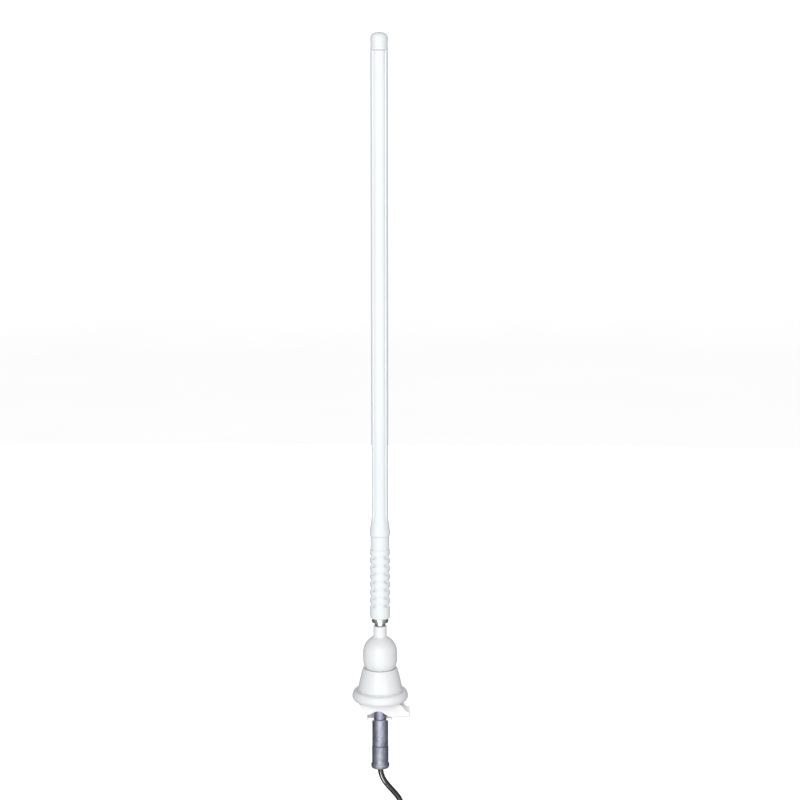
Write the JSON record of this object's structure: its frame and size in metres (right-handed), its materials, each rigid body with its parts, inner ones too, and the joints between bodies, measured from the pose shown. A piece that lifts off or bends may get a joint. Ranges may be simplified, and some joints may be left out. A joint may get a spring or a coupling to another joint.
{
  "type": "omnidirectional antenna",
  "caption": "White rubber-mast radio antenna on a ball swivel, with a bell-shaped base, a clamp for a panel hole and a coaxial lead with an aerial plug.",
  "frame": {"origin": "centre of the face that seats on the panel, on the axis of the panel hole", "axes": "+Z along the mast, away from the panel; +X to the side of the saddle's long claw, along the axis of the tilt pin; -Y is the side that the mast is seen from"},
  "size_m": [0.0503, 0.0486, 0.7861],
  "materials": {
    "white_rubber": "satin, smooth moulded",
    "white_abs": "satin gloss, smooth moulded",
    "white_coat": "white coated, satin",
    "chrome": "bright plated",
    "zinc": "zinc plated, satin with a cool tint",
    "steel": "plain turned",
    "brass": "plain turned",
    "copper": "plain copper",
    "nylon": "matte",
    "black_pvc": "glossy black",
    "dark_rubber": "matte"
  },
  "bodies": {
    "base": {"bell_housing": "white_abs", "base_gasket": "dark_rubber", "base_plate": "zinc", "base_screw_1": "steel", "base_screw_2": "steel", "base_screw_3": "steel", "bearing_plate": "nylon", "clamp_washer": "steel"},
    "nut": {"clamp_nut": "steel"},
    "swivel": {"swivel_post": "zinc", "retaining_clip": "steel", "spring_washer": "steel"},
    "mast_foot": {"ball_cover": "white_abs", "ball_clevis": "zinc", "pivot_pin": "steel", "pin_cap": "steel", "friction_washer_left": "nylon", "friction_washer_right": "nylon", "mast_ferrule": "chrome", "flex_boot": "white_rubber", "flex_spring": "steel"},
    "whip": {"mast_sleeve": "white_rubber", "tip_cap": "white_rubber", "core_rod": "nylon", "radiator_braid": "copper", "core_ferrule": "brass"},
    "clamp": {"clamp_tube": "zinc", "clamp_saddle": "white_coat", "clamp_yoke": "white_coat", "neck_insulator": "nylon", "contact_sleeve": "brass", "coax_core": "copper", "coax_dielectric": "nylon", "braid_crimp": "brass", "cable_can": "zinc", "cable_grommet": "dark_rubber", "cable_tail": "black_pvc", "cable_hank": "black_pvc", "cable_end": "black_pvc", "cable_tie_left": "black_pvc", "cable_tie_right": "black_pvc", "plug_boot": "black_pvc", "plug_shell": "chrome", "plug_insulator": "nylon", "plug_pin": "brass"}
  },
  "joints": [
    {"name": "base_swivel", "type": "hinge", "parent": "base", "child": "swivel", "pos_m": [0, 0, 0.0182], "axis": [0, 0, 1], "continuous": true},
    {"name": "mast_tilt", "type": "hinge", "parent": "swivel", "child": "mast_foot", "pos_m": [0, 0, 0.0365], "axis": [1, 0, 0], "range_deg": [-30, 30]},
    {"name": "whip_flex", "type": "hinge", "parent": "mast_foot", "child": "whip", "pos_m": [0, 0, 0.108], "axis": [0, 1, 0], "range_deg": [-25, 25], "stiffness_Nm_per_rad": 3, "deforming": ["flex_boot", "flex_spring"]},
    {"name": "clamp_nut_turn", "type": "hinge", "parent": "base", "child": "nut", "pos_m": [0, 0, 0.0083], "axis": [0, 0, 1], "range_deg": [-540, 1440]},
    {"name": "clamp_travel", "type": "slide", "parent": "base", "child": "clamp", "axis": [0, 0, 1], "range_m": [-0.004, 0.0015]}
  ],
  "couplings": [
    {"joint": "clamp_nut_turn", "follows": "clamp_travel", "rad_per_m": -6283.2}
  ]
}
